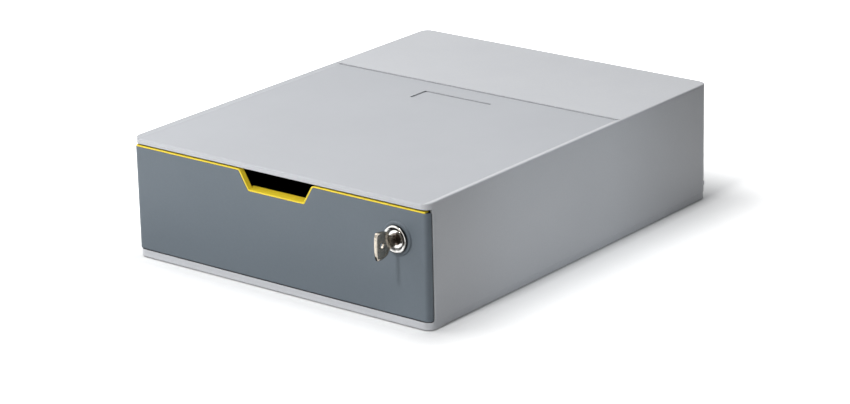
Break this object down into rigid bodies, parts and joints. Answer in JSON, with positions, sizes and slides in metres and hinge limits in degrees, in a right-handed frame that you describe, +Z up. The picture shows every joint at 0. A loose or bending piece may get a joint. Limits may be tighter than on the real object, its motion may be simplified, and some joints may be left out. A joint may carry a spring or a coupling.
{
  "type": "desktop drawer box",
  "caption": "Low desktop box for papers with one lockable drawer, a finger notch in its slate front, a yellow trim and a key in its cam lock.",
  "frame": {"origin": "on the surface that the box stands on, in the middle of the whole object's length and width, the key included", "axes": "+Z up, -Y out of the drawer's front, +X to the right seen from the front"},
  "size_m": [0.28, 0.3806, 0.095],
  "materials": {
    "housing_plastic": "fine-textured light grey moulding",
    "front_plastic": "satin slate moulding",
    "accent_plastic": "satin yellow moulding",
    "tray_plastic": "fine-textured anthracite moulding",
    "foot_rubber": "matt black rubber",
    "lock_chrome": "polished, fine turning marks",
    "key_nickel": "polished nickel plate with light wear",
    "zinc_steel": "zinc-plated steel",
    "wafer_brass": "stamped brass",
    "spring_steel": "drawn wire"
  },
  "bodies": {
    "housing": {"housing_shell": "housing_plastic", "base_plate": "housing_plastic", "base_screws": "zinc_steel", "foot_front_left": "foot_rubber", "foot_front_right": "foot_rubber", "foot_rear_left": "foot_rubber", "foot_rear_right": "foot_rubber"},
    "drawer": {"drawer_tray": "tray_plastic", "front_panel": "front_plastic", "accent_liner": "accent_plastic", "front_screws": "zinc_steel", "lock_barrel": "lock_chrome", "barrel_nut": "zinc_steel"},
    "lock_core": {"lock_plug": "lock_chrome", "stop_washer": "zinc_steel", "lock_cam": "zinc_steel", "cam_washer": "zinc_steel", "cam_screw": "zinc_steel", "wafer_springs": "spring_steel"},
    "wafers": {"wafer_1": "wafer_brass", "wafer_2": "wafer_brass", "wafer_3": "wafer_brass", "wafer_4": "wafer_brass", "wafer_5": "wafer_brass"},
    "key": {"lock_key": "key_nickel"}
  },
  "joints": [
    {"name": "drawer_slide", "type": "slide", "parent": "housing", "child": "drawer", "axis": [0, -1, 0], "range_m": [0, 0.27]},
    {"name": "lock_turn", "type": "hinge", "parent": "drawer", "child": "lock_core", "pos_m": [0.112, -0.16565, 0.0649], "axis": [0, 1, 0], "range_deg": [0, 90]},
    {"name": "key_slide", "type": "slide", "parent": "lock_core", "child": "key", "axis": [0, -1, 0], "range_m": [0, 0.032]},
    {"name": "wafer_lift", "type": "slide", "parent": "lock_core", "child": "wafers", "axis": [0, 0, 1], "range_m": [0, 0.001], "deforming": ["wafer_springs"]}
  ],
  "couplings": [
    {"joint": "wafer_lift", "follows": "key_slide", "ratio": 0.03125}
  ]
}
